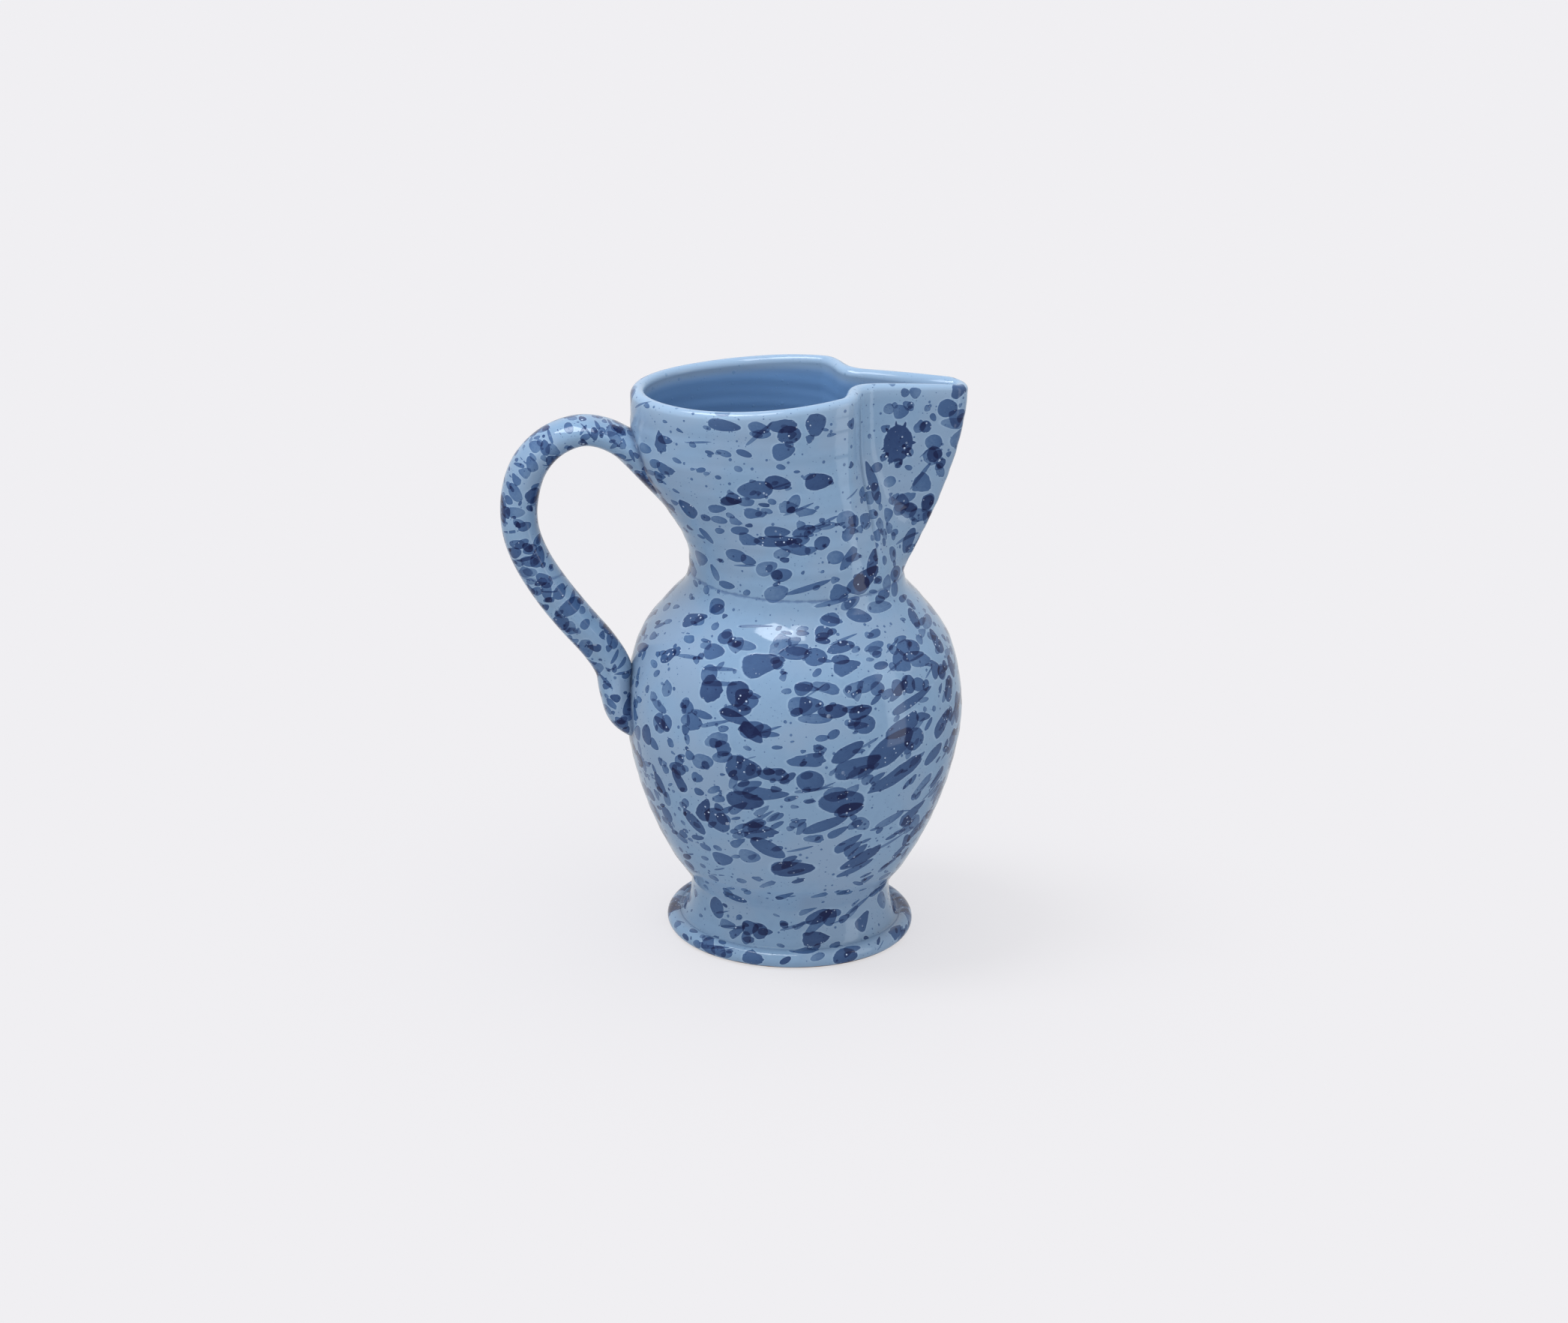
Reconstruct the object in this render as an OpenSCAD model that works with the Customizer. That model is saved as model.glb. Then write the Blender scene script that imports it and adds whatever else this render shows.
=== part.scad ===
// Ceramic pitcher: five fired clay pieces joined with slip.
// Millimetres, +Z up, +X towards the spout, origin on the foot's axis at the resting plane.

/* [Overall] */
// Highest point of the rim
rim_high = 250; // [245:1:260]
// Thickness of the thrown wall
wall = 6; // [5:0.5:7]

/* [Foot] */
// Outer diameter of the foot's rolled edge
foot_d = 108; // [106:1:112]
// Diameter of the waist, where the foot meets the belly
waist_d = 88; // [86:1:92]
// Height of the waist
waist_z = 24; // [23:1:26]
// Radius of the foot's rolled edge
bead_r = 3.8; // [3.4:0.2:4.2]

/* [Belly] */
// Diameter of the belly at its widest
belly_d = 146; // [143:1:150]
// Diameter at the neck crease
neck_d = 92; // [90:1:95]
// Height of the neck crease
neck_z = 165; // [163:1:168]

/* [Collar] */
// Half length of the oval mouth, from spout to handle
mouth_a = 51.8; // [50:0.1:54]
// Half width of the oval mouth
mouth_b = 42; // [40:0.5:44]
// Shift of the oval mouth towards the handle
mouth_shift = 17; // [16:0.5:18]
// Drop of the rim on the handle side
rim_drop = 4.3; // [3:0.1:5]

/* [Spout] */
// Distance of the nose centre from the axis
nose_x = 63.5; // [62:0.5:65]
// Radius of the nose, on the crest of the lip
nose_r = 5.4; // [5:0.1:6.4]
// Widening of the spout for each millimetre back from the nose
spout_flare = 0.16; // [0.12:0.01:0.2]
// Drop of the rim at the tip of the spout
tip_drop = 3; // [2:0.5:4]

/* [Handle] */
// Thickness of the strap at its upper end, seen from the side
strap_top_t = 12.5; // [12:0.5:15]
// Thickness of the strap at mid length
strap_t = 16; // [14:0.5:17]
// Width of the strap at mid length
strap_w = 22; // [20:0.5:24]
// Width of the strap where it is pressed on
strap_end_w = 28; // [26:0.5:30]

/* [Hidden] */

glaze_blue = "#9db8d4";
foot_blue = "#8fadd0";
spout_blue = "#a6bfd8";
handle_blue = "#86a7cf";

lip_r = wall / 2;
waist_r = waist_d / 2;
neck_r = neck_d / 2;
belly_r = belly_d / 2;
widest_z = 102;

// The foot: a rolled edge round a short hollow flare.
bead_x = foot_d / 2 - bead_r;
rest_r = bead_x + 1;
recess_r = 42;
recess_top_r = waist_r - 8;
gutter_z = 7.2;
flare_steps = 8;

// Radius of the pot's outside at each height: foot's gutter, waist, belly and neck.
pot_line = [
    [gutter_z, 46.8], [11, 44.9], [17, 43.6], [waist_z, waist_r], [36, 52.1], [50, 59.5], [66, 65.8],
    [84, belly_r - 2.4], [widest_z, belly_r], [120, belly_r - 1.8], [136, 66], [150, 55.5], [158, 48.3],
    [neck_z, neck_r]
];
floor_t = 7;
bowl_rise = 22;
belly_steps = 56;

// The collar and the spout share one outline, cut at the two pinched creases.
crease_angle = 43;
pinch_x = 25;
pinch_blend = 26;
beak_blend = 12;
high_x = 20;
back_reach = 80;
tip_reach = 46;
wall_steps = 14;
lip_steps = 6;

// The handle's centre line in the plane y = 0, as [x, z].
handle_line = [
    [-60, 212], [-72, 220.5], [-83, 226.5], [-94, 227.5], [-106, 222.5], [-114.8, 212], [-118.8, 198],
    [-118.2, 184], [-113.4, 170.5], [-105, 157], [-95.2, 144], [-85, 132], [-78.8, 121.5], [-77, 111],
    [-73.5, 101], [-62, 94]
];
handle_rings = 44;
handle_sides = 24;
cap_rings = 3;
press_depth = 0.4;
rib_depth = 0.9;

// Piecewise cubic through points [position, value], with slopes from the neighbours.
function slope(p, i) =
    let (a = p[max(i - 1, 0)], b = p[min(i + 1, len(p) - 1)]) (b[1] - a[1]) / (b[0] - a[0]);
function segment(p, x, i = 0) = i >= len(p) - 2 || x <= p[i + 1][0] ? i : segment(p, x, i + 1);
function smooth_line(p, x) =
    let (i = segment(p, x), h = p[i + 1][0] - p[i][0], t = (x - p[i][0]) / h)
    (2 * t ^ 3 - 3 * t ^ 2 + 1) * p[i][1] + (t ^ 3 - 2 * t ^ 2 + t) * h * slope(p, i)
    + (3 * t ^ 2 - 2 * t ^ 3) * p[i + 1][1] + (t ^ 3 - t ^ 2) * h * slope(p, i + 1);

function smooth_min(a, b, k) = let (h = max(k - abs(a - b), 0) / k) min(a, b) - h * h * k / 4;
function smooth_max(a, b, k) = -smooth_min(-a, -b, k);
function ease(t) = let (u = min(max(t, 0), 1)) u * u * (3 - 2 * u);

// Radius of the pot's outside, and of its inside at an even wall thickness.
function pot_out(z) = smooth_line(pot_line, z);
function pot_in(z) =
    let (top = min(z + 1, neck_z), rate = (pot_out(top) - pot_out(z - 1)) / (top - z + 1))
    pot_out(z) - wall * sqrt(1 + rate * rate);

// Distance from the axis to the mouth's oval at an angle; grow moves the oval outwards.
function oval_reach(angle, grow) =
    let (
        a = mouth_a + grow, b = mouth_b + grow, c = cos(angle), s = sin(angle),
        p = (c / a) ^ 2 + (s / b) ^ 2, q = 2 * mouth_shift * c / a ^ 2, r = (mouth_shift / a) ^ 2 - 1
    )
    (-q + sqrt(q * q - 4 * p * r)) / (2 * p);

// Distance from the axis to the spout's round nose or to one of its straight sides.
function beak_reach(angle, grow) =
    let (
        r = nose_r + grow, side = sqrt(1 + spout_flare ^ 2), c = cos(angle), s = sin(angle),
        nose_end = atan2(r / side, nose_x + r * spout_flare / side)
    )
    angle < nose_end ? nose_x * c + sqrt(max(r * r - (nose_x * s) ^ 2, 0))
    : angle < 100 ? (spout_flare * nose_x + r * side) / (s + spout_flare * c)
    : 0;

// Outline of the rim: the oval, pinched flat at the front, with the beak grown out of it.
function rim_reach(angle, grow) =
    let (a = abs(angle), front = (pinch_x + grow) / max(cos(a), 0.05))
    smooth_max(smooth_min(oval_reach(a, grow), front, pinch_blend), beak_reach(a, grow), beak_blend);

function rim_z(x) =
    x < high_x ? rim_high - rim_drop * sin(90 * min((high_x - x) / back_reach, 1)) ^ 1.3
    : rim_high - tip_drop * ((x - high_x) / tip_reach) ^ 1.6;
function lip_base(angle) = rim_z(rim_reach(angle, 0) * cos(angle)) - lip_r;

// Share of the rim's outline in the section at height t, from 0 at the neck to 1 at the lip.
function rim_share(angle, t) =
    let (front = max(cos(angle), 0) ^ 3)
    (1 - front) * ease((t - 0.06) / 0.7) + front * (1 - (1 - t) ^ 1.7);
function collar_reach(angle, t, grow) =
    let (share = rim_share(angle, t))
    (1 - share) * (neck_r - lip_r + grow) + share * rim_reach(angle, grow);

function polar(r, angle, z) = [r * cos(angle), r * sin(angle), z];
function wall_point(angle, t, grow) =
    polar(collar_reach(angle, t, grow), angle, neck_z + t * (lip_base(angle) - neck_z));
function lip_point(angle, turn) =
    polar(rim_reach(angle, lip_r * cos(turn)), angle, lip_base(angle) + lip_r * sin(turn));

// One upright slice through the wall: up the outside, over the lip and down the inside.
function slice(angle) = concat(
    [for (i = [0:wall_steps]) wall_point(angle, i / wall_steps, lip_r)],
    [for (i = [1:lip_steps - 1]) lip_point(angle, 180 * i / lip_steps)],
    [for (i = [wall_steps:-1:0]) wall_point(angle, i / wall_steps, -lip_r)]
);

// Shell through a row of closed loops, with flat or gently curved ends.
module loft(loops) {
    rows = len(loops);
    size = len(loops[0]);
    sides = [
        for (i = [0:rows - 2], j = [0:size - 1]) let (k = (j + 1) % size)
            each [
                [i * size + j, i * size + k, (i + 1) * size + k],
                [i * size + j, (i + 1) * size + k, (i + 1) * size + j]
            ]
    ];
    first = [for (j = [size - 1:-1:0]) j];
    last = [for (j = [0:size - 1]) (rows - 1) * size + j];
    polyhedron([for (l = loops) each l], concat(sides, [first, last]));
}

// Sector of the collar wall between two angles.
module wall_sector(from, to, steps) {
    loft([for (i = [0:steps]) slice(from + (to - from) * i / steps)]);
}

// The handle's centre line by station u, from 0 at the collar to 1 at the belly.
handle_x = [for (i = [0:len(handle_line) - 1]) [i, handle_line[i][0]]];
handle_z = [for (i = [0:len(handle_line) - 1]) [i, handle_line[i][1]]];
function handle_mid(u) =
    let (s = u * (len(handle_line) - 1)) [smooth_line(handle_x, s), 0, smooth_line(handle_z, s)];
function handle_out(u) =
    let (d = handle_mid(min(u + 0.005, 1)) - handle_mid(max(u - 0.005, 0))) [d[2], 0, -d[0]] / norm(d);

// How much the strap widens towards its two pressed ends, and its thickness at each station.
function end_spread(u) = max(1 - ease(u / 0.25), ease((u - 0.72) / 0.2));
function thickness(u) =
    strap_top_t + (strap_t - strap_top_t) * ease((u - 0.15) / 0.25) + 3 * (1 - ease(u / 0.1))
    - 1.4 * ease((u - 0.8) / 0.1);
function side_groove(u, side) =
    rib_depth * ease((u - 0.5) / 0.15) * (1 - ease((u - 0.82) / 0.08))
    * exp(-((abs(sin(side)) - 0.92) / 0.13) ^ 2) * (cos(side) < 0 ? 1 : 0);
function handle_point(u, side) =
    let (
        half_w = (strap_w + (strap_end_w - strap_w) * end_spread(u)) / 2,
        half_t = thickness(u) / 2 - side_groove(u, side),
        out = handle_out(u)
    )
    handle_mid(u) + [0, (half_w - side_groove(u, side)) * sin(side), 0] - out * half_t * cos(side);

// Distance of a point from the outside of the pot, and the point moved to just under it.
function pot_reach(p) =
    p[2] < neck_z ? pot_out(p[2])
    : let (a = atan2(p[1], p[0])) collar_reach(a, min((p[2] - neck_z) / (lip_base(a) - neck_z), 1), lip_r);
function clearance(p) = norm([p[0], p[1]]) - pot_reach(p) + press_depth;
function on_pot(p) =
    let (r = norm([p[0], p[1]]), k = (pot_reach(p) - press_depth) / r) [p[0] * k, p[1] * k, p[2]];

// Station at which one edge of the strap reaches the pot, found by halving.
function meet(side, inside, outside, n = 18) =
    let (mid = (inside + outside) / 2)
    n == 0 ? mid
    : clearance(handle_point(mid, side)) < 0 ? meet(side, mid, outside, n - 1)
    : meet(side, inside, mid, n - 1);

module handle_strap() {
    sides = [for (i = [0:handle_sides - 1]) 360 * i / handle_sides];
    starts = [for (s = sides) meet(s, 0, 0.3)];
    ends = [for (s = sides) meet(s, 1, 0.7)];
    rings = [
        for (i = [0:handle_rings])
            [for (j = [0:handle_sides - 1])
                handle_point(starts[j] + (ends[j] - starts[j]) * i / handle_rings, sides[j])]
    ];
    count = len(rings);
    first_mid = on_pot(average(rings[0]));
    last_mid = on_pot(average(rings[count - 1]));
    first_cap = [for (k = [1:cap_rings]) shrink(rings[0], first_mid, k / (cap_rings + 1))];
    last_cap = [for (k = [cap_rings:-1:1]) shrink(rings[count - 1], last_mid, 1 - k / (cap_rings + 1))];
    loft(concat(
        [for (k = [cap_rings - 1:-1:0]) first_cap[k]],
        rings,
        [for (k = [cap_rings - 1:-1:0]) last_cap[cap_rings - 1 - k]]
    ));
}
function average(points, i = 0) = i == len(points) ? [0, 0, 0] : points[i] / len(points) + average(points, i + 1);
function shrink(ring, mid, k) = [for (p = ring) on_pot(p + (mid - p) * k)];

module foot() {
    color(foot_blue)
        rotate_extrude($fn = 180)
            polygon(concat(
                [[recess_r, 0], [rest_r, 0]],
                [for (a = [-75:15:105]) [bead_x + bead_r * cos(a), bead_r + bead_r * sin(a)]],
                [for (i = [0:flare_steps]) let (z = gutter_z + (waist_z - gutter_z) * i / flare_steps)
                    [pot_out(z), z]],
                [[recess_top_r, waist_z]]
            ));
}

module belly() {
    inside_from = waist_z + floor_t + bowl_rise;
    bowl_r = pot_in(inside_from);
    color(glaze_blue)
        rotate_extrude($fn = 180)
            polygon(concat(
                [[0, waist_z]],
                [for (i = [0:belly_steps]) let (z = waist_z + (neck_z - waist_z) * i / belly_steps)
                    [pot_out(z), z]],
                [for (i = [0:belly_steps]) let (z = neck_z + (inside_from - neck_z) * i / belly_steps)
                    [pot_in(z), z]],
                [for (a = [9:9:81]) [bowl_r * cos(a), inside_from - bowl_rise * sin(a)]],
                [[0, inside_from - bowl_rise]]
            ));
}

module collar() {
    color(glaze_blue)
        wall_sector(crease_angle, 360 - crease_angle, 66);
}

module spout() {
    color(spout_blue)
        wall_sector(-crease_angle, crease_angle, 44);
}

module handle() {
    color(handle_blue)
        handle_strap();
}

foot();
belly();
collar();
spout();
handle();
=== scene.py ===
"""Looks of a glazed ceramic pitcher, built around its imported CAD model.

Shapes are worked out in millimetres by the same formulas as the CAD part, from the boxes of its nodes,
and turned into metres when a mesh is made. +X points to the spout and +Z is up.
"""
import math

import bpy
import numpy as np
from mathutils import Matrix, Vector


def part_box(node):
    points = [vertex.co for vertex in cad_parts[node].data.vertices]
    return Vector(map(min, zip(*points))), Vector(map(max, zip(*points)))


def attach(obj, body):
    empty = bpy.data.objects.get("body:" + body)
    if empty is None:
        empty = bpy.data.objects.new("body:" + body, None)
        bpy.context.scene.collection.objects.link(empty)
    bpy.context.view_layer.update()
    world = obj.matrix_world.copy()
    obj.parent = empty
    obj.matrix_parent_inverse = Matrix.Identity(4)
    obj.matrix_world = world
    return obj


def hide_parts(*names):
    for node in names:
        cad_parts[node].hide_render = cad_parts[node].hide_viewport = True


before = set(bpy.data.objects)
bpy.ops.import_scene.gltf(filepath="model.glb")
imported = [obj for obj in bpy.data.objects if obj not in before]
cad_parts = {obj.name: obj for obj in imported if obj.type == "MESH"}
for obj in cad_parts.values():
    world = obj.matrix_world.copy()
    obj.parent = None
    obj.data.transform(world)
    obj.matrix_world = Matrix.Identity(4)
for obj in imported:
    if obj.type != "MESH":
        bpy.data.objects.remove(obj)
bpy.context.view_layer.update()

MM = 0.001
BODY = "root"


# -------- driving sizes, in millimetres
def node_box(name):
    low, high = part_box(name)
    return np.array(low) / MM, np.array(high) / MM


foot_high = node_box("foot")[1]
belly_high = node_box("belly")[1]
collar_low = node_box("collar")[0]
spout_high = node_box("spout")[1]

WAIST_Z = foot_high[2]
NECK_Z = belly_high[2]
RIM_HIGH = spout_high[2]
WALL = 6.0
LIP_R = WALL / 2
BEAD_R = 3.8
BEAD_X = foot_high[0] - BEAD_R
BELLY_R = belly_high[0]
NECK_R = 46.0
WAIST_R = 44.0
RECESS_TOP_R = WAIST_R - 8
FLOOR_T = 7.0
BOWL_RISE = 22.0

MOUTH_A = 51.8
MOUTH_B = 42.0
MOUTH_SHIFT = -collar_low[0] - LIP_R - MOUTH_A
RIM_DROP = 4.3
HIGH_X = 20.0
BACK_REACH = 80.0
NOSE_R = 5.4
NOSE_X = spout_high[0] - LIP_R - NOSE_R
SPOUT_FLARE = 0.16
TIP_DROP = 3.0
TIP_REACH = 46.0
PINCH_X = 25.0
PINCH_BLEND = 26.0
BEAK_BLEND = 12.0
CREASE = math.radians(43)

# Radius of the pot's outside at each height, from the gutter above the foot's edge to the neck.
POT_LINE = np.array([
    (7.2, 46.8), (11, 44.9), (17, 43.6), (WAIST_Z, WAIST_R), (36, 52.1), (50, 59.5), (66, 65.8),
    (84, BELLY_R - 2.4), (102, BELLY_R), (120, BELLY_R - 1.8), (136, 66), (150, 55.5), (158, 48.3),
    (NECK_Z, NECK_R),
])

# Centre line of the handle in the plane y = 0, as (x, z).
HANDLE_LINE = np.array([
    (-60, 212), (-72, 220.5), (-83, 226.5), (-94, 227.5), (-106, 222.5), (-114.8, 212), (-118.8, 198),
    (-118.2, 184), (-113.4, 170.5), (-105, 157), (-95.2, 144), (-85, 132), (-78.8, 121.5), (-77, 111),
    (-73.5, 101), (-62, 94),
])
STRAP_TOP_T = 12.5
STRAP_T = 16.0
STRAP_W = 22.0
STRAP_END_W = 28.0
PRESS_DEPTH = 0.4
GROOVE_DEPTH = 1.5


# -------- shape formulas
def ease(t):
    u = np.clip(t, 0, 1)
    return u * u * (3 - 2 * u)


def smooth_min(a, b, k):
    h = np.maximum(k - np.abs(a - b), 0) / k
    return np.minimum(a, b) - h * h * k / 4


def smooth_max(a, b, k):
    return -smooth_min(-a, -b, k)


def smooth_line(points, x):
    """Piecewise cubic through points (position, value), with slopes from the neighbours."""
    x = np.asarray(x, float)
    at, value = points[:, 0], points[:, 1]
    before = np.maximum(np.arange(len(at)) - 1, 0)
    after = np.minimum(np.arange(len(at)) + 1, len(at) - 1)
    slope = (value[after] - value[before]) / (at[after] - at[before])
    i = np.clip(np.searchsorted(at, x, side="left") - 1, 0, len(at) - 2)
    h = at[i + 1] - at[i]
    t = (x - at[i]) / h
    return (
        (2 * t**3 - 3 * t**2 + 1) * value[i]
        + (t**3 - 2 * t**2 + t) * h * slope[i]
        + (3 * t**2 - 2 * t**3) * value[i + 1]
        + (t**3 - t**2) * h * slope[i + 1]
    )


def pot_out(z):
    return smooth_line(POT_LINE, z)


def pot_in(z):
    top = np.minimum(z + 1, NECK_Z)
    rate = (pot_out(top) - pot_out(z - 1)) / (top - z + 1)
    return pot_out(z) - WALL * np.sqrt(1 + rate**2)


# Each reach is the distance from the axis to an outline, made larger by grow, in the direction angle.
def oval_reach(angle, grow):
    a, b = MOUTH_A + grow, MOUTH_B + grow
    c, s = np.cos(angle), np.sin(angle)
    p = (c / a) ** 2 + (s / b) ** 2
    q = 2 * MOUTH_SHIFT * c / a**2
    r = (MOUTH_SHIFT / a) ** 2 - 1
    return (-q + np.sqrt(q * q - 4 * p * r)) / (2 * p)


def beak_reach(angle, grow):
    """The spout's rounded nose or its flanks, and 0 behind it."""
    r = NOSE_R + grow
    side = math.sqrt(1 + SPOUT_FLARE**2)
    c, s = np.cos(angle), np.sin(angle)
    nose_end = np.arctan2(r / side, NOSE_X + r * SPOUT_FLARE / side)
    nose = NOSE_X * c + np.sqrt(np.maximum(r * r - (NOSE_X * s) ** 2, 0))
    flank = (SPOUT_FLARE * NOSE_X + r * side) / np.maximum(s + SPOUT_FLARE * c, 0.05)
    behind = angle > math.radians(100)
    return np.where(angle < nose_end, nose, np.where(behind, 0, flank))


def rim_reach(angle, grow):
    """The rim: the oval, pinched at the front, joined to the beak."""
    a = np.abs((angle + math.pi) % (2 * math.pi) - math.pi)
    front = (PINCH_X + grow) / np.maximum(np.cos(a), 0.05)
    pinched = smooth_min(oval_reach(a, grow), front, PINCH_BLEND)
    return smooth_max(pinched, beak_reach(a, grow), BEAK_BLEND)


def rim_z(x):
    """Height of the rim, which falls a little to the back and to the tip of the spout."""
    back = RIM_HIGH - RIM_DROP * np.sin(np.pi / 2 * np.clip((HIGH_X - x) / BACK_REACH, 0, 1)) ** 1.3
    tip = RIM_HIGH - TIP_DROP * np.clip((x - HIGH_X) / TIP_REACH, 0, None) ** 1.6
    return np.where(x < HIGH_X, back, tip)


def lip_base(angle):
    return rim_z(rim_reach(angle, 0.0) * np.cos(angle)) - LIP_R


def rim_share(angle, t):
    """Change of the wall from the round neck, 0, to the rim's outline, 1, at share t of its height."""
    front = np.maximum(np.cos(angle), 0) ** 3
    return (1 - front) * ease((t - 0.06) / 0.7) + front * (1 - (1 - np.clip(t, 0, 1)) ** 1.7)


def collar_reach(angle, t, grow):
    share = rim_share(angle, t)
    return (1 - share) * (NECK_R - LIP_R + grow) + share * rim_reach(angle, grow)


def polar(r, angle, z):
    return np.stack(np.broadcast_arrays(r * np.cos(angle), r * np.sin(angle), z), axis=-1)


def wall_point(angle, t, grow):
    z = NECK_Z + t * (lip_base(angle) - NECK_Z)
    return polar(collar_reach(angle, t, grow), angle, z)


def lip_point(angle, turn):
    grow = LIP_R * np.cos(turn)
    return polar(rim_reach(angle, grow), angle, lip_base(angle) + LIP_R * np.sin(turn))


def scaled_out(p, k):
    """The same points with their distances from the pot's axis multiplied by k."""
    return np.stack([p[..., 0] * k, p[..., 1] * k, p[..., 2]], axis=-1)


def unevenness(p):
    """Small irregularity of the pot's radius at points p: faint throwing rings and soft dents."""
    x, y, z = p[..., 0], p[..., 1], p[..., 2]
    turn = np.arctan2(y, x)
    rings = 0.07 * np.sin(z * 0.62 + turn) + 0.05 * np.sin(z * 1.13 - turn + 1.3)
    dents = 0.16 * np.sin(x * 0.071 + 1.0) * np.sin(y * 0.083 + 0.4) * np.sin(z * 0.06 + 2.0)
    lumps = 0.07 * np.sin(x * 0.17 + z * 0.13) * np.sin(y * 0.19 - z * 0.11 + 0.7)
    fade = ease((z - 2) / 10)
    return fade * (rings + dents + lumps)


def made_by_hand(p):
    """The same points, moved outwards by the unevenness."""
    r = np.maximum(np.hypot(p[..., 0], p[..., 1]), 1e-6)
    return scaled_out(p, 1 + unevenness(p) / r * ease(r / 20))


# -------- meshes
def unit(v):
    return v / np.maximum(np.linalg.norm(v, axis=-1, keepdims=True), 1e-12)


class Sheet:
    """One piece as a grid of points, with its normals and the values painted on it."""

    def __init__(self, name, slot, points, normals, inside, wrap_rows, wrap_columns):
        self.name = name
        self.slot = slot
        rows, columns = points.shape[:2]
        index = np.arange(rows * columns).reshape(rows, columns)
        if wrap_rows:
            index = np.concatenate([index, index[:1]], axis=0)
        if wrap_columns:
            index = np.concatenate([index, index[:, :1]], axis=1)
        self.faces = np.stack(
            [index[:-1, :-1], index[:-1, 1:], index[1:, 1:], index[1:, :-1]], axis=-1
        ).reshape(-1, 4)
        self.points = points.reshape(-1, 3)
        self.normals = normals.reshape(-1, 3)
        self.inside = inside.reshape(-1)
        self.thin = np.zeros(len(self.points))
        self.extra_faces = []
        self.shape = (rows, columns)

    def row(self, i):
        rows, columns = self.shape
        i = i % rows
        return list(range(i * columns, (i + 1) * columns))

    def column(self, j):
        rows, columns = self.shape
        j = j % columns
        return [i * columns + j for i in range(rows)]

    def close_with_fans(self, middles):
        """Closes the first and last rows with a fan of triangles round each middle point."""
        for loop, middle in zip((self.row(0)[::-1], self.row(-1)), middles):
            self.extra_faces += fan(loop, len(self.points))
            self.points = np.concatenate([self.points, [middle]])
            self.normals = np.concatenate([self.normals, unit(self.normals[loop].mean(axis=0))[None]])
            self.inside = np.append(self.inside, self.inside[loop[0]])
            self.thin = np.append(self.thin, 0.0)


def surface_normals(point_at, u, v, step_u, step_v):
    """Normals of the surface point_at(u, v) by central differences."""
    du = point_at(u + step_u, v) - point_at(u - step_u, v)
    dv = point_at(u, v + step_v) - point_at(u, v - step_v)
    return unit(np.cross(du, dv))


# -------- pot pieces
WALL_ROWS = 60
LIP_ROWS = 12
COLLAR_COLUMNS = 230
SPOUT_COLUMNS = 96
BELLY_COLUMNS = 288
FOOT_COLUMNS = 240
FOLD_DEPTH = 2.2
FOLD_WIDTH = 1.4
FINE_WIDTH = 5.0


def ladder(loop):
    """Quads closing a loop of points whose two sides run alongside each other."""
    last = len(loop) - 1
    return [(loop[k], loop[k + 1], loop[last - k - 1], loop[last - k]) for k in range(last // 2)]


def fan(loop, middle):
    """Triangles from a middle point to each edge of a loop."""
    return [(a, b, middle) for a, b in zip(loop, loop[1:] + loop[:1])]


def from_fold(angle):
    """Signed distance, at the neck's radius, from the nearer of the two folds beside the spout."""
    turned = np.abs((angle + np.pi) % (2 * np.pi) - np.pi)
    return (turned - CREASE) * NECK_R


def folded_in(points, angle, way):
    """Outside points pressed in along the two folds, deepest half way up."""
    along = ease((way - 0.08) / 0.3) * (1 - ease((way - 0.86) / 0.16))
    depth = FOLD_DEPTH * along * np.exp(-((from_fold(angle) / FOLD_WIDTH) ** 2))
    return scaled_out(points, 1 - depth / np.hypot(points[..., 0], points[..., 1]))


def wall_sheet(name, slot, low_angle, high_angle, columns):
    """Sector of the collar: up the outside, over the rolled lip and down the inside."""
    # Columns stand evenly along the rim and the neck together, and closer near the folds.
    fine = np.linspace(low_angle, high_angle, 2000)
    edge = polar(rim_reach(fine, LIP_R), fine, 0.0)
    step = 0.7 * np.linalg.norm(np.diff(edge, axis=0), axis=1) + 0.3 * NECK_R * np.diff(fine)
    step = step * (1 + 1.6 * np.exp(-((from_fold(fine[1:]) / FINE_WIDTH) ** 2)))
    run = np.concatenate([[0], np.cumsum(step)])
    angles = np.interp(np.linspace(0, run[-1], columns), run, fine)
    wall = np.linspace(0, 1, WALL_ROWS)
    lip = 1 + np.linspace(0, 1, LIP_ROWS + 2)[1:-1]

    def point_at(angle, way):
        outer = folded_in(wall_point(angle, way, LIP_R), angle, way)
        over = lip_point(angle, np.pi * np.clip(way - 1, 0, 1))
        inner = wall_point(angle, 3 - way, -LIP_R)
        way = way[..., None]
        return made_by_hand(np.where(way <= 1, outer, np.where(way < 2, over, inner)))

    way, angle = np.meshgrid(np.concatenate([wall, lip, 2 + wall]), angles, indexing="ij")
    points = point_at(angle, way)
    normals = surface_normals(point_at, angle, way, 0.002, 0.004)
    sheet = Sheet(name, slot, points, normals, ease((way - 1.2) / 0.35), True, False)
    sheet.thin = ease((way - 0.93) / 0.1).reshape(-1) * ease((2.08 - way) / 0.1).reshape(-1)
    sheet.extra_faces = ladder(sheet.column(0)) + ladder(sheet.column(-1)[::-1])
    return sheet


def profile_normals(profile):
    """Unit normals to the right of the direction of travel along a profile."""
    along = np.gradient(profile, axis=0)
    return unit(np.stack([along[:, 1], -along[:, 0]], axis=-1))


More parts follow.
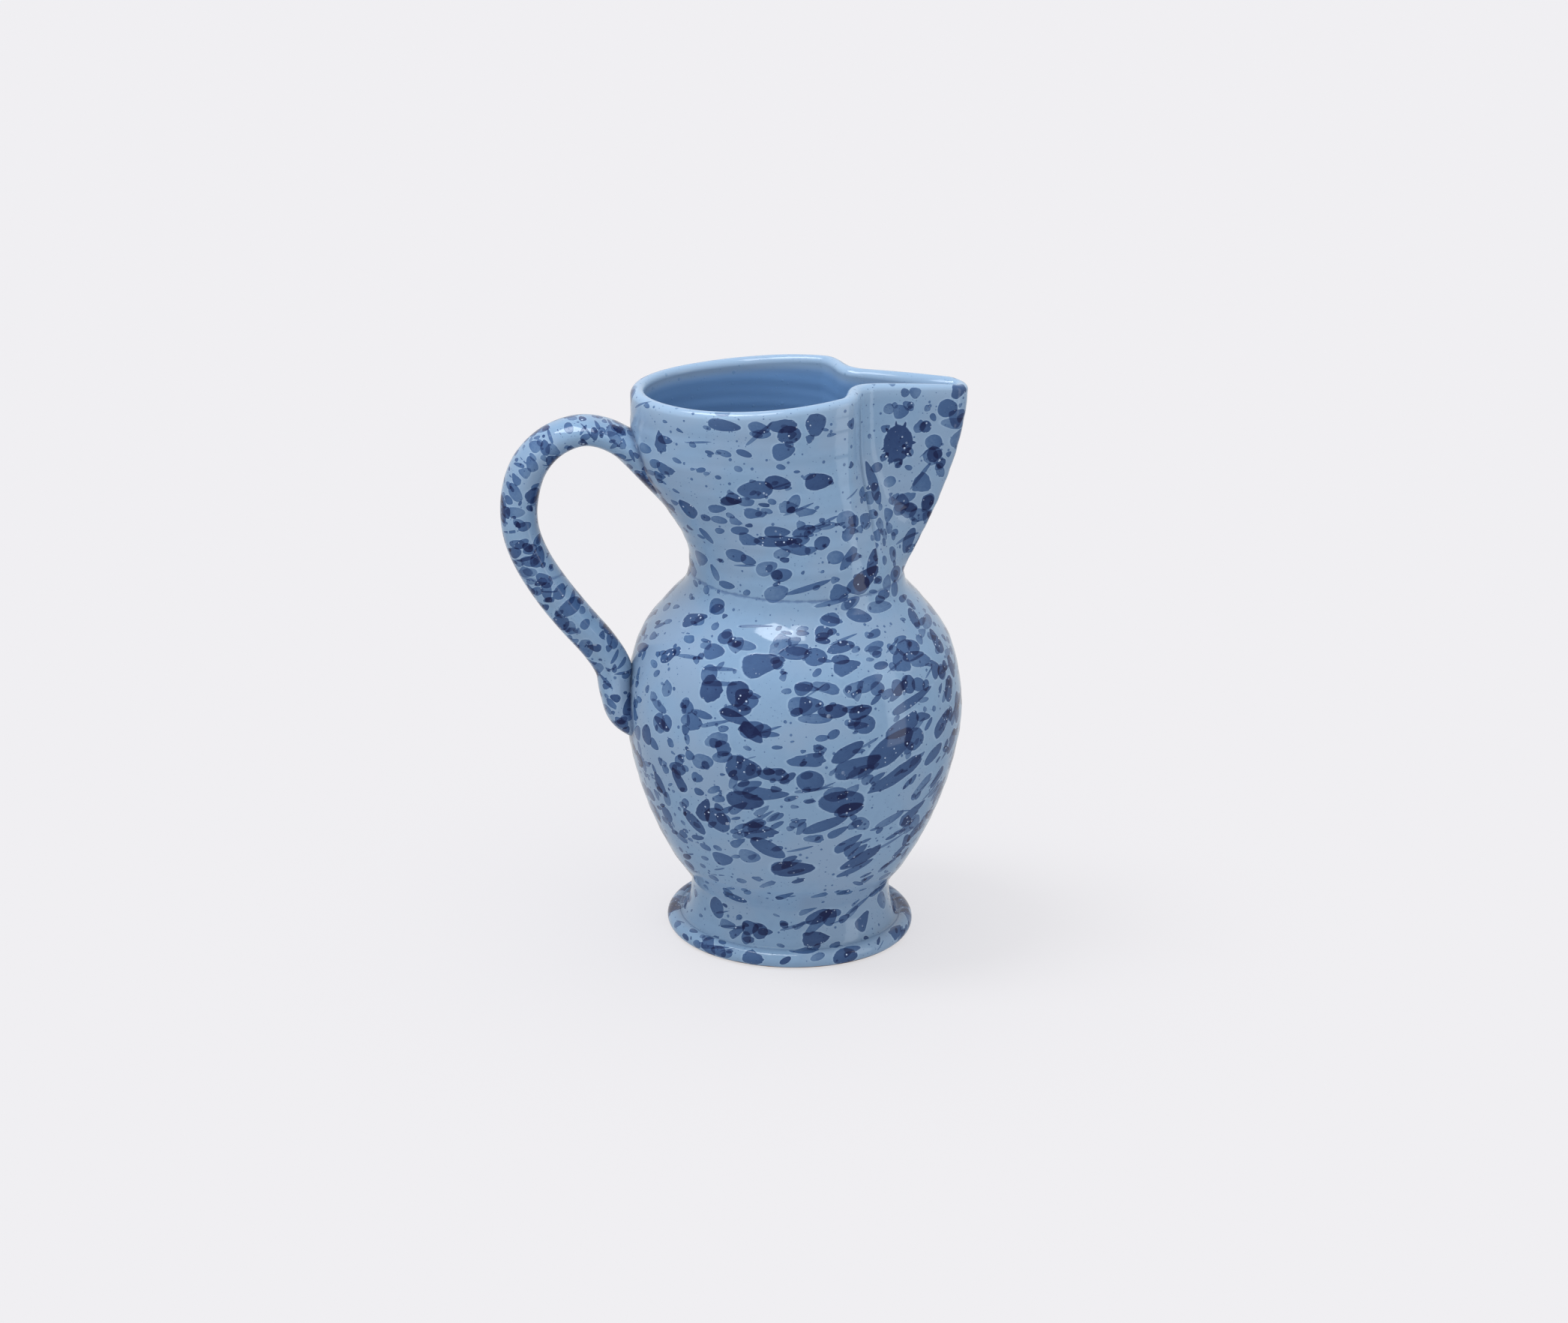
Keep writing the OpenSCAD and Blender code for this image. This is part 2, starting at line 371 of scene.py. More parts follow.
def turned_sheet(name, slot, profile, normals, inside, columns, wrap_rows):
    """Piece thrown on the wheel: a profile of (radius, height) points turned round the axis."""
    angles = np.linspace(0, 2 * np.pi, columns, endpoint=False)
    points = made_by_hand(polar(profile[:, None, 0], angles, profile[:, None, 1]))
    around = polar(normals[:, None, 0], angles, normals[:, None, 1])
    shaded = np.broadcast_to(inside[:, None], points.shape[:2])
    return Sheet(name, slot, points, around, shaded, wrap_rows, True)


def pot_profile(low, high, count):
    """Outside profile between two heights, with normals that carry on smoothly beyond its ends."""
    heights = np.linspace(low, high, count)
    profile = np.stack([pot_out(heights), heights], axis=-1)
    rate = (pot_out(heights + 0.3) - pot_out(heights - 0.3)) / 0.6
    return profile, unit(np.stack([np.ones(count), -rate], axis=-1))


def belly_sheet():
    """Thrown body: under the floor, up the outside to the neck, and down the inside to the bowl."""
    outside, outside_normals = pot_profile(WAIST_Z, NECK_Z, 104)
    floor_top = WAIST_Z + FLOOR_T + BOWL_RISE
    down = np.linspace(NECK_Z, floor_top, 56)
    within = np.stack([pot_in(down), down], axis=-1)
    turn = np.radians(np.linspace(4, 87, 26))
    bowl_r = pot_in(np.array([floor_top]))[0]
    bowl = np.stack([bowl_r * np.cos(turn), floor_top - BOWL_RISE * np.sin(turn)], axis=-1)
    hollow = np.concatenate([within, bowl])
    radii = np.linspace(3, WAIST_R - 1, 14)
    under = np.stack([radii, np.full_like(radii, WAIST_Z)], axis=-1)
    under_normals = np.tile([0.0, -1.0], (len(under), 1))
    profile = np.concatenate([under, outside, hollow])
    normals = np.concatenate([under_normals, outside_normals, profile_normals(hollow)])
    inside = np.concatenate([np.ones(len(under)), np.zeros(len(outside)), np.ones(len(hollow))])
    sheet = turned_sheet("belly_shell", "belly_glaze", profile, normals, inside, BELLY_COLUMNS, False)
    sheet.close_with_fans([(0, 0, WAIST_Z), (0, 0, WAIST_Z + FLOOR_T)])
    return sheet


def through(points, steps):
    """Smooth curve through a list of 2-D points, with so many steps between neighbours."""
    points = np.array([tuple(p) for p in points], float)
    index = np.arange(len(points), dtype=float)
    s = np.linspace(0, len(points) - 1, steps * (len(points) - 1) + 1)
    return np.stack([smooth_line(np.stack([index, points[:, k]], axis=-1), s) for k in (0, 1)], axis=-1)


def foot_sheet():
    """Foot ring: rolled bead, trough above it, flare up to the waist, and the hollow underneath."""
    turn = np.radians(np.linspace(-90, 112, 30))
    bead = np.stack([BEAD_X + BEAD_R * np.cos(turn), BEAD_R + BEAD_R * np.sin(turn)], axis=-1)
    trough = through([bead[-1], (48.1, 6.95), (47.1, 7.15), (46.2, 8.4), (44.9, 11)], 5)[1:-1]
    edge = np.concatenate([bead, trough])
    flare, flare_normals = pot_profile(11, WAIST_Z, 16)
    recess = through([(RECESS_TOP_R, WAIST_Z), (39, 12), (41.5, 2.2), (42.6, 0.4), (43.8, 0)], 6)
    rest = np.stack([np.linspace(45, BEAD_X - 0.8, 6), np.zeros(6)], axis=-1)
    profile = np.concatenate([edge, flare, recess, rest])
    edge_normals = profile_normals(np.concatenate([edge, flare[:1]]))[:-1]
    rest_normals = np.tile([0.0, -1.0], (6, 1))
    normals = np.concatenate([edge_normals, flare_normals, profile_normals(recess), rest_normals])
    hidden = len(recess) + len(rest)
    inside = np.concatenate([np.zeros(len(profile) - hidden), np.ones(hidden)])
    return turned_sheet("foot_ring", "foot_glaze", profile, normals, inside, FOOT_COLUMNS, True)


# -------- handle
STATIONS = np.arange(len(HANDLE_LINE), dtype=float)
HANDLE_X = np.stack([STATIONS, HANDLE_LINE[:, 0]], axis=-1)
HANDLE_Z = np.stack([STATIONS, HANDLE_LINE[:, 1]], axis=-1)
HANDLE_SIDES = 64
HANDLE_RINGS = 170
RING_BUNCHING = 0.95
FILLET = 0.8
FLARE_REACH = 15.0
FLARE_HEIGHT = 10.0
FLARE_SLOPE = 0.35


def handle_mid(u):
    """Centre line of the strap, from the collar at u = 0 to the belly at u = 1."""
    s = np.clip(u, 0, 1) * STATIONS[-1]
    return np.stack([smooth_line(HANDLE_X, s), 0 * s, smooth_line(HANDLE_Z, s)], axis=-1)


def handle_out(u):
    """Direction across the strap, away from the finger hole."""
    d = handle_mid(np.minimum(u + 0.005, 1)) - handle_mid(np.maximum(u - 0.005, 0))
    return unit(np.stack([d[..., 2], 0 * d[..., 0], -d[..., 0]], axis=-1))


def end_spread(u):
    """Share by which the strap widens towards its two ends."""
    return np.maximum(1 - ease(u / 0.25), ease((u - 0.72) / 0.2))


def thickness(u):
    swell = (STRAP_T - STRAP_TOP_T) * ease((u - 0.15) / 0.25)
    return STRAP_TOP_T + swell + 3 * (1 - ease(u / 0.1)) - 1.4 * ease((u - 0.8) / 0.1)


def side_groove(u, side):
    """Depth of the two grooves pressed along the lower half of the strap's outer side."""
    along = ease((u - 0.5) / 0.15) * (1 - ease((u - 0.82) / 0.08))
    across = np.exp(-(((np.abs(np.sin(side)) - 0.9) / 0.1) ** 2))
    return GROOVE_DEPTH * along * across * (np.cos(side) < 0)


def handle_point(u, side):
    """Point of the strap's surface at station u, side being the angle round its section."""
    groove = side_groove(u, side)
    sway = 0.18 * np.sin(21 * u + 1) + 0.12 * np.sin(47 * u + 2 * np.cos(side))
    half_w = (STRAP_W + (STRAP_END_W - STRAP_W) * end_spread(u)) / 2 - groove + sway
    half_t = thickness(u) / 2 - groove + 0.5 * sway
    across = (half_w * np.sin(side))[..., None] * np.array([0.0, 1.0, 0.0])
    return handle_mid(u) + across - handle_out(u) * (half_t * np.cos(side))[..., None]


def pot_reach(p):
    """Distance from the axis to the pot's outside, at the height and in the direction of p."""
    angle = np.arctan2(p[..., 1], p[..., 0])
    t = np.minimum((p[..., 2] - NECK_Z) / (lip_base(angle) - NECK_Z), 1)
    return np.where(p[..., 2] < NECK_Z, pot_out(p[..., 2]), collar_reach(angle, t, LIP_R))


def clearance(p):
    """How far p is outside the surface that the handle is pressed into."""
    return np.hypot(p[..., 0], p[..., 1]) - pot_reach(p) + PRESS_DEPTH


def on_pot(p, gap=0.0):
    """Point moved level with the floor until it is gap from where the handle presses into the pot."""
    return scaled_out(p, (pot_reach(p) - PRESS_DEPTH + gap) / np.hypot(p[..., 0], p[..., 1]))


def meet(side, inside, outside):
    """Station at which each edge of the strap reaches the pot, found by halving."""
    low = np.full_like(side, inside)
    high = np.full_like(side, outside)
    for _ in range(24):
        mid = (low + high) / 2
        within = clearance(handle_point(mid, side)) < 0
        low = np.where(within, mid, low)
        high = np.where(within, high, mid)
    return (low + high) / 2


def handle_sheet():
    """Pulled strap, with rings bunched towards the two ends where it meets the pot."""
    sides = np.linspace(0, 2 * np.pi, HANDLE_SIDES, endpoint=False)
    starts, ends = meet(sides, 0.0, 0.3), meet(sides, 1.0, 0.7)
    share = np.linspace(0, 1, HANDLE_RINGS)
    share = share - RING_BUNCHING * np.sin(2 * np.pi * share) / (2 * np.pi)
    u = starts + (ends - starts) * share[:, None]
    points = handle_point(u, np.broadcast_to(sides, u.shape))
    spine = handle_mid(u)
    # The strap flares where it joins the pot, most of all under its upper end.
    under = np.maximum(np.cos(sides), 0) ** 3 * (share[:, None] < 0.5)
    gap = np.maximum(clearance(points), 0)
    near = np.clip(1 - gap / (FILLET + FLARE_HEIGHT * under), 0, 1)
    spread = (FILLET + FLARE_REACH * under) * (1 - np.sqrt(1 - near**2))
    outward = unit(unit(points * np.array([1, 1, 0])) - np.array([0, 0, FLARE_SLOPE]))
    away = unit(points - spine)
    away = unit(away - outward * np.sum(away * outward, axis=-1, keepdims=True))
    points = on_pot(points + away * spread[..., None], gap)
    for ring in (0, -1):
        points[ring] = on_pot(points[ring])
    around = np.roll(points, -1, axis=1) - np.roll(points, 1, axis=1)
    normals = unit(np.cross(around, np.gradient(points, axis=0)))
    if np.sum(normals * (points - spine)) < 0:
        points, normals = points[::-1].copy(), -normals[::-1]
    for ring in (0, -1):
        radial = unit(points[ring] * np.array([1, 1, 0]))
        normals[ring] = unit(normals[ring] * 0.4 + radial * 0.6)
    sheet = Sheet("handle_strap", "handle_glaze", points, normals, np.zeros(u.shape), False, True)
    sheet.close_with_fans([on_pot(points[ring].mean(axis=0)) for ring in (0, -1)])
    return sheet


# -------- splatter
SEED = 27
# Drops that one face can hold, and how far a drop can reach, in half sizes.
DROP_SLOTS = 8
DROP_REACH = 1.4
NO_DROP = (9.0, 9.0, 0.0)
# The whole part of a drop's code is its shape, from 1 to SHAPES, and the rest is its weight.
SHAPES = 60
THROWS = 160
TRIES = 5
HANDLE_DROPS = 520
STREAK_SHARE, HANDLE_STREAK_SHARE = 0.07, 0.2
# Drops aimed lower or higher than this miss the pot.
LOWEST_AIM, HIGHEST_AIM = 3, 249
USUAL_HALF, USUAL_HANDLE_HALF, LARGEST_HALF = 1.9, 1.8, 4.4
# How readily pigment is thrown at each piece.
PIECE_SHARE = {
    "foot_ring": 1.4, "belly_shell": 1.0, "collar_wall": 0.4, "spout_beak": 1.5, "handle_strap": 0.0,
}

# Largest drops of the side with the spout to the right, as
# (azimuth, height, half length, half width, tilt, weight) in degrees and mm.
LARGE_DROPS = [
    # spout
    (-17, 224, 8, 6.5, 80, 0.95), (-16, 237, 3.5, 3, 0, 0.2), (-12, 230, 3, 2.5, 20, 0.2),
    (-8, 238, 4.5, 4, 0, 0.4), (-6, 233, 4.5, 4, 20, 0.4), (-9, 223, 4, 3.5, 0, 0.2),
    (-9, 217, 3.5, 3.5, 0, 0.7), (-6, 246, 4, 3.5, 0, 0.7), (-17, 195, 3.5, 3, 0, 0.2),
    (-24, 193, 3, 3, 0, 0.1), (-8, 196, 4.5, 3, 60, 0.5), (-11, 180, 6, 3.5, 60, 0.45),
    (-33, 212, 7, 3, 105, 0.45), (-32, 205, 4, 3, 80, 0.4),
    # collar
    (-130, 241, 7, 2.5, -5, 0.55), (-105, 241, 6, 3, 0, 0.55), (-101, 237, 5, 4, 0, 0.6),
    (-104, 231, 5, 3.5, 10, 0.3), (-87, 241, 5, 4.5, 90, 0.6), (-115, 238, 4, 2, 0, 0.1),
    (-157, 230, 4.5, 3, 100, 0.5), (-117, 214, 7.5, 4, 3, 0.45), (-84, 217, 6.5, 3.5, 0, 0.85),
    (-122, 209, 4, 2, 0, 0.1), (-108, 191, 9, 2.5, 3, 0.65), (-107, 196, 5.5, 2.5, 0, 0.45),
    (-93, 196, 5, 2.5, 15, 0.4), (-96, 192, 5, 2.5, 12, 0.2), (-121, 191, 4.5, 2.5, -8, 0.2),
    (-129, 183, 5, 3, 0, 0.2), (-66, 193, 4.5, 2.5, 40, 0.2), (-68, 182, 6, 2.5, 50, 0.35),
    (-76, 184, 4, 3, 0, 0.1), (-56, 173, 8, 4, 20, 0.85), (-62, 170, 6, 4, 0, 0.45),
    (-50, 178, 6, 3.5, 60, 0.65), (-72, 168, 5, 3, 0, 0.3), (-90, 171, 10, 1.3, 18, 0.25),
    (-150, 201, 5, 4, 130, 0.6), (-145, 190, 4.5, 2, 130, 0.2), (-145, 172, 4, 2, 130, 0.1),
    # shoulder
    (-108, 143, 9, 4.5, 20, 0.55), (-97, 146, 6.5, 3, 5, 0.35), (-88, 145, 5, 4, 0, 0.3),
    (-76, 141, 6, 3, 15, 0.45), (-77, 148, 6.5, 2.5, 12, 0.45), (-83, 154, 4, 3, 0, 0.5),
    (-79, 158, 4.5, 3, 0, 0.3), (-63, 158, 6, 3, -25, 0.45), (-52, 139, 5, 4.5, 80, 0.3),
    (-52, 130, 4, 4, 0, 0.5), (-57, 130, 3.5, 3.5, 0, 0.4), (-150, 152, 6.5, 3, 40, 0.65),
    (-152, 137, 5, 3, 45, 0.7), (-127, 130, 5.5, 5.5, 0, 0.8), (-117, 130, 5.5, 5, 90, 0.8),
    # belly
    (-65, 132, 3.5, 3, 0, 0.2), (-90, 128, 5, 3.5, 5, 0.4), (-83, 124, 6.5, 3, 0, 0.85),
    (-73, 123, 5.5, 3, 10, 0.8), (-72, 118, 5, 4, 0, 0.4), (-50, 123, 13, 2, 14, 0.55),
    (-57, 114, 10, 4, 15, 0.55), (-62, 105, 13, 6, 25, 0.65), (-74, 100, 11, 4, 15, 0.55),
    (-52, 107, 6, 5, 0, 0.35), (-78, 107, 8, 3, 28, 0.65), (-92, 104, 8, 3, 5, 0.35),
    (-90, 94, 6, 5, -10, 0.45), (-113, 98, 8, 5.5, 0, 0.65), (-103, 97, 7, 3, 0, 0.45),
    (-113, 84, 8.5, 4.5, 0, 0.8), (-106, 88, 10, 3, 3, 0.35), (-80, 83, 10.5, 5.5, -5, 0.55),
    (-76, 79, 6, 3.5, 10, 0.8), (-60, 92, 14, 4, 22, 0.55), (-84, 73, 10, 3, 22, 0.45),
    (-79, 68, 5, 2, 30, 0.3), (-124, 71, 6.5, 5.5, 130, 0.55), (-136, 67, 7, 3.5, 130, 0.55),
    (-108, 68, 7.5, 4.5, 0, 0.45), (-106, 60, 8.5, 4, 145, 0.45), (-96, 50, 9.5, 4.5, 3, 0.8),
    (-67, 52, 10, 3.5, 32, 0.65), (-68, 46, 9, 2, 28, 0.35), (-139, 86, 6, 3, 120, 0.75),
    (-151, 80, 6, 3, 120, 0.55), (-136, 121, 3.5, 3, 0, 0.2), (-132, 115, 4, 3.5, 0, 0.3),
    (-144, 111, 3.5, 3.5, 0, 0.2), (-117, 120, 7, 2.5, -15, 0.65), (-111, 115, 6, 3, 145, 0.85),
    (-30, 150, 5, 3.5, 60, 0.5), (-24, 140, 6, 4, 80, 0.7), (-20, 128, 5, 3.5, 90, 0.8),
    (-28, 120, 6, 4, 50, 0.6), (-35, 132, 4, 3.5, 0, 0.5), (-22, 110, 7, 4, 80, 0.7),
    (-36, 108, 8, 3.5, 30, 0.6), (-27, 96, 6, 4, 60, 0.5), (-40, 96, 7, 3, 25, 0.4),
    (-20, 86, 6, 3.5, 80, 0.6), (-35, 82, 6, 3, 40, 0.4), (-27, 72, 7, 3, 60, 0.5),
    (-45, 70, 8, 3, 30, 0.4), (-38, 58, 6, 3, 40, 0.5), (-42, 143, 4, 3.5, 0, 0.4),
    # foot
    (-143, 18, 5, 4, 130, 0.4), (-113, 13, 3.5, 3.5, 0, 0.6), (-82, 11, 6, 3, 0, 0.8),
    (-80, 20, 6, 3, 20, 0.55), (-72, 19, 4, 3, 60, 0.4), (-50, 14, 5, 3, 40, 0.5),
    (-70, 4, 6, 3.5, 0, 0.65), (-113, 4, 5, 3, 0, 0.4), (-132, 4, 4, 2.5, 0, 0.4),
    (-128, 28, 6, 2.5, -15, 0.65),
]


class Target:
    """All faces that pigment can land on, whatever piece they belong to."""

    def __init__(self, sheets):
        self.sheets = sheets
        parts = []
        for number, sheet in enumerate(sheets):
            corners = sheet.points[sheet.faces]
            cross = np.cross(corners[:, 2] - corners[:, 0], corners[:, 3] - corners[:, 1])
            area = np.linalg.norm(cross, axis=1) / 2
            seen = np.where((sheet.inside[sheet.faces].max(axis=1) < 0.9) & (area > 1e-6))[0]
            middles = corners[seen].mean(axis=1)
            facing = unit(sheet.normals[sheet.faces[seen]].mean(axis=1))
            parts.append((middles, facing, area[seen], np.full(len(seen), number), seen))
        together = [np.concatenate(part) for part in zip(*parts)]
        self.centres, self.normals, areas, self.owners, self.faces = together
        self.chance = areas / areas.sum()
        self.drops = [np.full((len(s.faces), 4, DROP_SLOTS, 3), NO_DROP, np.float32) for s in sheets]
        self.used = [np.zeros(len(s.faces), int) for s in sheets]

    def nearest(self, point):
        return int(np.argmin(((self.centres - point) ** 2).sum(axis=1)))

    def land(self, drop):
        """Notes on each face near the drop where its corners lie, in units of the drop's half sizes."""
        at, heading, half_long, half_wide, code = drop
        centre, normal = self.centres[at], self.normals[at]
        along = unit(heading - normal * np.dot(heading, normal))
        across = np.cross(normal, along)
        offset = self.centres - centre
        close = np.einsum("ij,ij->i", offset, offset) < (DROP_REACH * half_long + 3) ** 2
        near = np.where(close & (self.normals @ normal > 0.15))[0]
        near = near[np.abs(offset[near] @ normal) < 2.5 + 0.8 * half_long]
        for number in np.unique(self.owners[near]):
            ids = self.faces[near[self.owners[near] == number]]
            sheet = self.sheets[number]
            corners = sheet.points[sheet.faces[ids]] - centre
            a = corners @ along / half_long
            b = corners @ across / half_wide
            wanted = np.hypot(a, b).min(axis=1) < DROP_REACH
            wanted &= self.used[number][ids] < DROP_SLOTS
            ids, a, b = ids[wanted], a[wanted], b[wanted]
            value = np.stack([a, b, np.full_like(a, code)], axis=-1)
            self.drops[number][ids, :, self.used[number][ids]] = value
            self.used[number][ids] += 1


def grain(piece, rng):
    """Tilt from the horizontal, in degrees, and stretch of the drops of one throw on a piece."""
    if piece == "collar_wall":
        return rng.normal(2, 12), rng.uniform(1.2, 2.6)
    if piece == "spout_beak":
        return rng.uniform(0, 180), rng.uniform(1.0, 1.5)
    if rng.uniform() < 0.4:
        return rng.uniform(0, 180), rng.uniform(1.0, 1.6)
    return rng.normal(20, 16), rng.uniform(1.2, 3.2)


def tangent(point, tilt):
    """Direction along the pot's side at a point, tilted up from the horizontal."""
    around = unit(np.array([-point[1], point[0], 0.0]))
    return around * math.cos(math.radians(tilt)) + np.array([0, 0, math.sin(math.radians(tilt))])


def drop_size(rng, middle, stretch):
    """Half length and half width of a drop, middle being the usual half size."""
    size = min(float(np.exp(rng.normal(math.log(middle), 0.5))), LARGEST_HALF)
    ratio = math.sqrt(1 + (stretch - 1) * rng.uniform(0.5, 1.4))
    return size * ratio, size / ratio


def well_apart(target, chance, rng):
    """Places where the throws are aimed: each the farthest of a few tries from those before it."""
    starts = []
    for _ in range(THROWS):
        tries = rng.choice(len(chance), TRIES, p=chance)
        before = target.centres[starts]
        gaps = [np.linalg.norm(before - target.centres[t], axis=1).min(initial=np.inf) for t in tries]
        starts.append(int(tries[int(np.argmax(gaps))]))
    return starts


def thrown_drops(target, rng):
    """Random throws of pigment: each is a spray of drops, most of them stretched one way."""
    drops = []
    handle = len(target.sheets) - 1
    readiness = np.array([PIECE_SHARE[sheet.name] for sheet in target.sheets])
    chance = target.chance * readiness[target.owners]
    for number, start in enumerate(well_apart(target, chance / chance.sum(), rng)):
        here = target.centres[start]
        tilt, stretch = grain(target.sheets[target.owners[start]].name, rng)
        heading = tangent(here, tilt)
        side = unit(np.cross(target.normals[start], heading))
        long_spread, wide_spread = rng.uniform(18, 46), rng.uniform(10, 28)
        for _ in range(rng.integers(8, 22)):
            shift = heading * rng.normal() * long_spread + side * rng.normal() * wide_spread
            at = target.nearest(here + shift)
            missed = not LOWEST_AIM < (here + shift)[2] < HIGHEST_AIM
            if missed or target.owners[at] == handle:
                continue
            turned = unit(tangent(target.centres[at], tilt) + rng.normal(size=3) * 0.13)
            if rng.uniform() < STREAK_SHARE:
                long_half = rng.uniform(2.5, 9)
                streak = tangent(target.centres[at], rng.normal(18, 12))
                drops.append((at, streak, long_half, long_half * rng.uniform(0.07, 0.14), number + 0.1))
                continue
            weight = min(rng.exponential(0.22), 0.85)
            drops.append((at, turned, *drop_size(rng, USUAL_HALF, stretch), rng.integers(1, SHAPES) + weight))
    return drops


def handle_drops(target, rng):
    """Single drops and fine streaks scattered over the handle, most of them lying across it."""
    drops = []
    chance = target.chance * (target.owners == len(target.sheets) - 1)
    for number in range(HANDLE_DROPS):
        at = rng.choice(len(chance), p=chance / chance.sum())
        across = unit(np.array([0.0, 1.0, 0.0]) + rng.normal(size=3) * 0.25)
        if rng.uniform() < HANDLE_STREAK_SHARE:
            long_half = rng.uniform(2, 5)
            drops.append((at, across, long_half, long_half * rng.uniform(0.1, 0.3), number % SHAPES + 1.3))
            continue
        weight = min(rng.exponential(0.35), 0.8)
        drops.append((at, across, *drop_size(rng, USUAL_HANDLE_HALF, 1.7), rng.integers(1, SHAPES) + weight))
    return drops


def placed_drops(target, rng):
    """The large drops where they are listed, and as many again at random round the back."""
    drops = []
    for number, (azimuth, height, half_long, half_wide, tilt, weight) in enumerate(LARGE_DROPS):
        a = math.radians(azimuth)
        out = np.array([math.cos(a), math.sin(a), 0.0])
        offset = target.centres - np.array([0, 0, height])
        beside = np.abs(target.centres @ np.array([-out[1], out[0], 0.0])) + np.abs(offset[:, 2])
        toward = offset @ out
        at = int(np.argmin(beside - 0.02 * toward + 1000 * (toward < 0)))
        heading = tangent(target.centres[at], tilt)
        drops.append((at, heading, half_long, half_wide, number % SHAPES + 1 + weight))
    behind = target.chance * (target.centres[:, 1] > 0)
    for number in range(len(LARGE_DROPS)):
        at = rng.choice(len(behind), p=behind / behind.sum())
        size, ratio = rng.uniform(2.8, 6.5), rng.uniform(1, 1.5)
        tilt = grain(target.sheets[target.owners[at]].name, rng)[0]
        heading = tangent(target.centres[at], tilt)
        weight = rng.uniform(0.1, 0.8)
        drops.append((at, heading, size * ratio, size / ratio, number % SHAPES + 1 + weight))
    return drops


JOINT_REACH = 6.0
JOINT_WIDTH = 1.8


# Mask of the painted shade, and of glaze that gathers, along the handle's joins.
def near_joint(points, joints):
    """1 at the line where the handle joins the pot, falling to 0 a few millimetres from it."""
    values = np.zeros(len(points))
    low, high = joints.min(axis=0) - JOINT_REACH, joints.max(axis=0) + JOINT_REACH
    close = np.where(np.all((points > low) & (points < high), axis=1))[0]
    gap = np.linalg.norm(points[close, None] - joints[None], axis=2).min(axis=1)
    values[close] = np.exp(-((gap / JOINT_WIDTH) ** 2))
    return values


# -------- Blender objects
def in_scene(name, data):
    """New object with that data, linked into the scene."""
    thing = bpy.data.objects.new(name, data)
    bpy.context.scene.collection.objects.link(thing)
    return thing


def shown_piece(sheet, drops, joint_glaze_and_shade, node, material):
    """Blender object for a sheet, in metres, with smooth normals and painted values."""
    faces = [tuple(f) for f in sheet.faces.tolist()] + sheet.extra_faces
    mesh = bpy.data.meshes.new(sheet.name)
    mesh.from_pydata((sheet.points * MM).tolist(), [], faces)
    mesh.shade_smooth()
    for label, values in (("inside", sheet.inside), ("thin", sheet.thin), ("joint_glaze_and_shade", joint_glaze_and_shade)):
        attribute = mesh.attributes.new(label, "FLOAT", "POINT")
        attribute.data.foreach_set("value", np.ascontiguousarray(values, np.float32))
    corner_total = len(mesh.loops)
    for number in range(DROP_SLOTS):
        values = np.tile(np.array(NO_DROP, np.float32), (corner_total, 1))
        values[: len(sheet.faces) * 4] = drops[:, :, number].reshape(-1, 3)
        attribute = mesh.attributes.new(f"drop{number}", "FLOAT_VECTOR", "CORNER")
        attribute.data.foreach_set("vector", values.reshape(-1))
    mesh.update()
    mesh.normals_split_custom_set_from_vertices(sheet.normals.tolist())
    piece = in_scene(sheet.name, mesh)
    mesh.materials.append(material)
    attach(piece, BODY)
    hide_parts(node)
    return piece


# -------- materials
def srgb(r, g, b):
    """Linear colour of a display colour given in 0..255."""
    def linear(v):
        v = v / 255
        return v / 12.92 if v <= 0.04045 else ((v + 0.055) / 1.055) ** 2.4

    return (linear(r), linear(g), linear(b), 1.0)


class Nodes:
    """Short ways to add and link shader nodes in one tree."""

    def __init__(self, tree):
        self.tree = tree

    def add(self, kind, inputs=(), **settings):
        node = self.tree.nodes.new(kind)
        for name, value in settings.items():
            setattr(node, name, value)
        for name, value in dict(inputs).items():
            socket = node.inputs[name]
            if isinstance(value, bpy.types.NodeSocket):
                self.tree.links.new(value, socket)
            else:
                socket.default_value = value
        return node

    def math(self, operation, *values):
        return self.add("ShaderNodeMath", enumerate(values), operation=operation).outputs[0]

    def times(self, a, b):
        return self.math("MULTIPLY", a, b)

    def plus(self, a, b):
        return self.math("ADD", a, b)

    def minus(self, a, b):
        return self.math("SUBTRACT", a, b)

    def vector(self, operation, *values):
        node = self.add("ShaderNodeVectorMath", enumerate(values), operation=operation)
        return node.outputs["Value" if operation == "LENGTH" else "Vector"]

    def channel(self, value, number):
        """One random number of a cell, or one coordinate of a colour or vector."""
        kind = "ShaderNodeSeparateColor" if value.type == "RGBA" else "ShaderNodeSeparateXYZ"
        return self.add(kind, {0: value}).outputs[number]

    def fade(self, value, low, high, start=0.0, end=1.0):
        """Smooth step from start to end as value goes from low to high."""
        inputs = {"Value": value, "From Min": low, "From Max": high, "To Min": start, "To Max": end}
        return self.add("ShaderNodeMapRange", inputs, interpolation_type="SMOOTHSTEP").outputs[0]

    def noise(self, position, scale, detail=2.0, roughness=0.5):
        inputs = {"Vector": position, "Scale": scale, "Detail": detail, "Roughness": roughness}
        return self.add("ShaderNodeTexNoise", inputs).outputs[0]

    def cells(self, position, scale):
        return self.add("ShaderNodeTexVoronoi", {"Vector": position, "Scale": scale})

    def mix(self, share, a, b):
        inputs = {0: share, 6: a, 7: b}
        return self.add("ShaderNodeMix", inputs, data_type="RGBA", clamp_factor=True).outputs[2]

    def attribute(self, name, output="Fac"):
        return self.add("ShaderNodeAttribute", attribute_name=name).outputs[output]

    def ramp(self, value, stops):
        node = self.add("ShaderNodeValToRGB", {0: value})
        elements = node.color_ramp.elements
        while len(elements) < len(stops):
            elements.new(0.5)
        for element, (position, colour) in zip(elements, stops):
            element.position = position
            element.color = colour
        return node.outputs[0]


